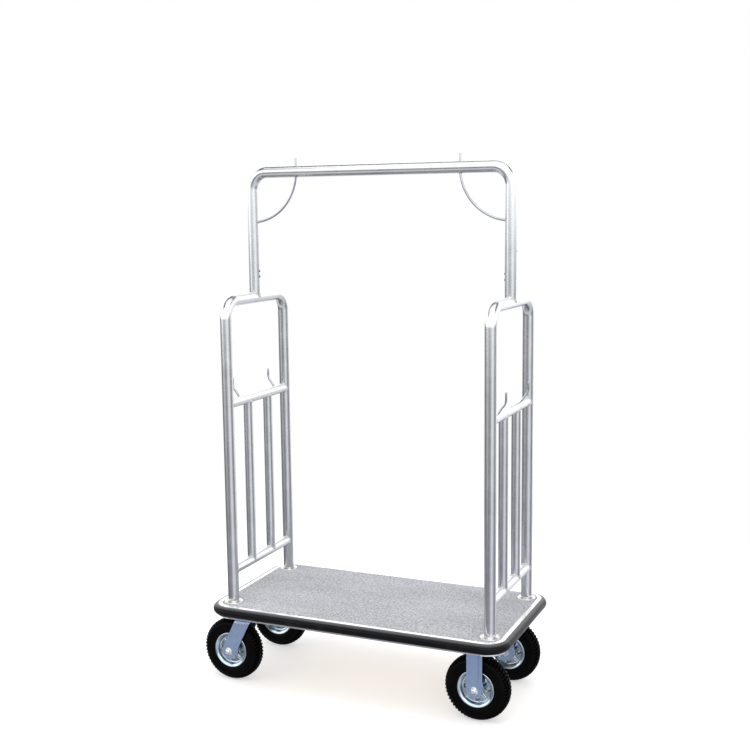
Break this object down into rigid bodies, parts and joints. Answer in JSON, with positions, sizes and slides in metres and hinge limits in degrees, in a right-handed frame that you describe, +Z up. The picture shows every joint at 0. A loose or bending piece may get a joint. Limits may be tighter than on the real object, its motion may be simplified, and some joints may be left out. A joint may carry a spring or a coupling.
{
  "type": "hotel luggage cart",
  "caption": "Hotel luggage cart: carpeted deck with a rubber bumper, tubular end frames with bag hooks, and a garment arch, on rigid and swivel pneumatic-style casters.",
  "frame": {"origin": "on the floor, midway between the four posts", "axes": "+Z up; +X along the cart's length, towards the rigid casters; -Y towards the front"},
  "size_m": [1.1275, 0.568, 1.802],
  "materials": {
    "stainless_tube": "satin brushed stainless steel",
    "deck_metal": "bright brushed stainless steel",
    "zinc_plate": "bright blue-tinted zinc plating",
    "fasteners": "zinc-plated hardware",
    "painted_steel": "satin black paint",
    "plywood": "sealed plywood",
    "carpet": "speckled light grey loop pile",
    "bumper_rubber": "semi-gloss black rubber",
    "tyre_rubber": "black rubber with a knobby tread"
  },
  "bodies": {
    "cart": {"post_feet": "fasteners", "post_screws": "fasteners", "caster_bolts": "fasteners", "kingpins": "fasteners", "race_balls": "fasteners", "arch_screws": "fasteners", "arch_rivets": "fasteners", "rigid_fork_front": "zinc_plate", "rigid_fork_back": "zinc_plate", "swivel_plate_front": "zinc_plate", "swivel_plate_back": "zinc_plate", "rigid_axles": "zinc_plate", "end_frame_left": "stainless_tube", "end_frame_right": "stainless_tube", "upper_rail_left": "stainless_tube", "upper_rail_right": "stainless_tube", "lower_rail_left": "stainless_tube", "lower_rail_right": "stainless_tube", "bar_left_front": "stainless_tube", "bar_left_back": "stainless_tube", "bar_right_front": "stainless_tube", "bar_right_back": "stainless_tube", "spigot_left": "stainless_tube", "spigot_right": "stainless_tube", "garment_arch": "stainless_tube", "brace_left": "stainless_tube", "brace_right": "stainless_tube", "hooks_left": "stainless_tube", "hooks_right": "stainless_tube", "deck_edge": "deck_metal", "post_flanges": "deck_metal", "cross_members": "painted_steel", "deck_board": "plywood", "deck_carpet": "carpet", "bumper": "bumper_rubber"},
    "swivel_caster_front": {"swivel_fork_front": "zinc_plate", "swivel_axle_front": "zinc_plate"},
    "swivel_caster_back": {"swivel_fork_back": "zinc_plate", "swivel_axle_back": "zinc_plate"},
    "wheel_left_front": {"tyre_left_front": "tyre_rubber", "rim_outer_left_front": "zinc_plate", "rim_inner_left_front": "zinc_plate", "hub_left_front": "zinc_plate", "rim_bolts_left_front": "fasteners"},
    "wheel_left_back": {"tyre_left_back": "tyre_rubber", "rim_outer_left_back": "zinc_plate", "rim_inner_left_back": "zinc_plate", "hub_left_back": "zinc_plate", "rim_bolts_left_back": "fasteners"},
    "wheel_right_front": {"tyre_right_front": "tyre_rubber", "rim_outer_right_front": "zinc_plate", "rim_inner_right_front": "zinc_plate", "hub_right_front": "zinc_plate", "rim_bolts_right_front": "fasteners"},
    "wheel_right_back": {"tyre_right_back": "tyre_rubber", "rim_outer_right_back": "zinc_plate", "rim_inner_right_back": "zinc_plate", "hub_right_back": "zinc_plate", "rim_bolts_right_back": "fasteners"}
  },
  "joints": [
    {"name": "swivel_front", "type": "hinge", "parent": "cart", "child": "swivel_caster_front", "pos_m": [-0.426, -0.171, 0.24], "axis": [0, 0, 1], "continuous": true},
    {"name": "swivel_back", "type": "hinge", "parent": "cart", "child": "swivel_caster_back", "pos_m": [-0.426, 0.171, 0.24], "axis": [0, 0, 1], "continuous": true},
    {"name": "wheel_spin_left_front", "type": "hinge", "parent": "swivel_caster_front", "child": "wheel_left_front", "pos_m": [-0.486, -0.171, 0.1095], "axis": [0, 1, 0], "continuous": true},
    {"name": "wheel_spin_left_back", "type": "hinge", "parent": "swivel_caster_back", "child": "wheel_left_back", "pos_m": [-0.486, 0.171, 0.1095], "axis": [0, 1, 0], "continuous": true},
    {"name": "wheel_spin_right_front", "type": "hinge", "parent": "cart", "child": "wheel_right_front", "pos_m": [0.413, -0.171, 0.1095], "axis": [0, 1, 0], "continuous": true},
    {"name": "wheel_spin_right_back", "type": "hinge", "parent": "cart", "child": "wheel_right_back", "pos_m": [0.413, 0.171, 0.1095], "axis": [0, 1, 0], "continuous": true}
  ]
}
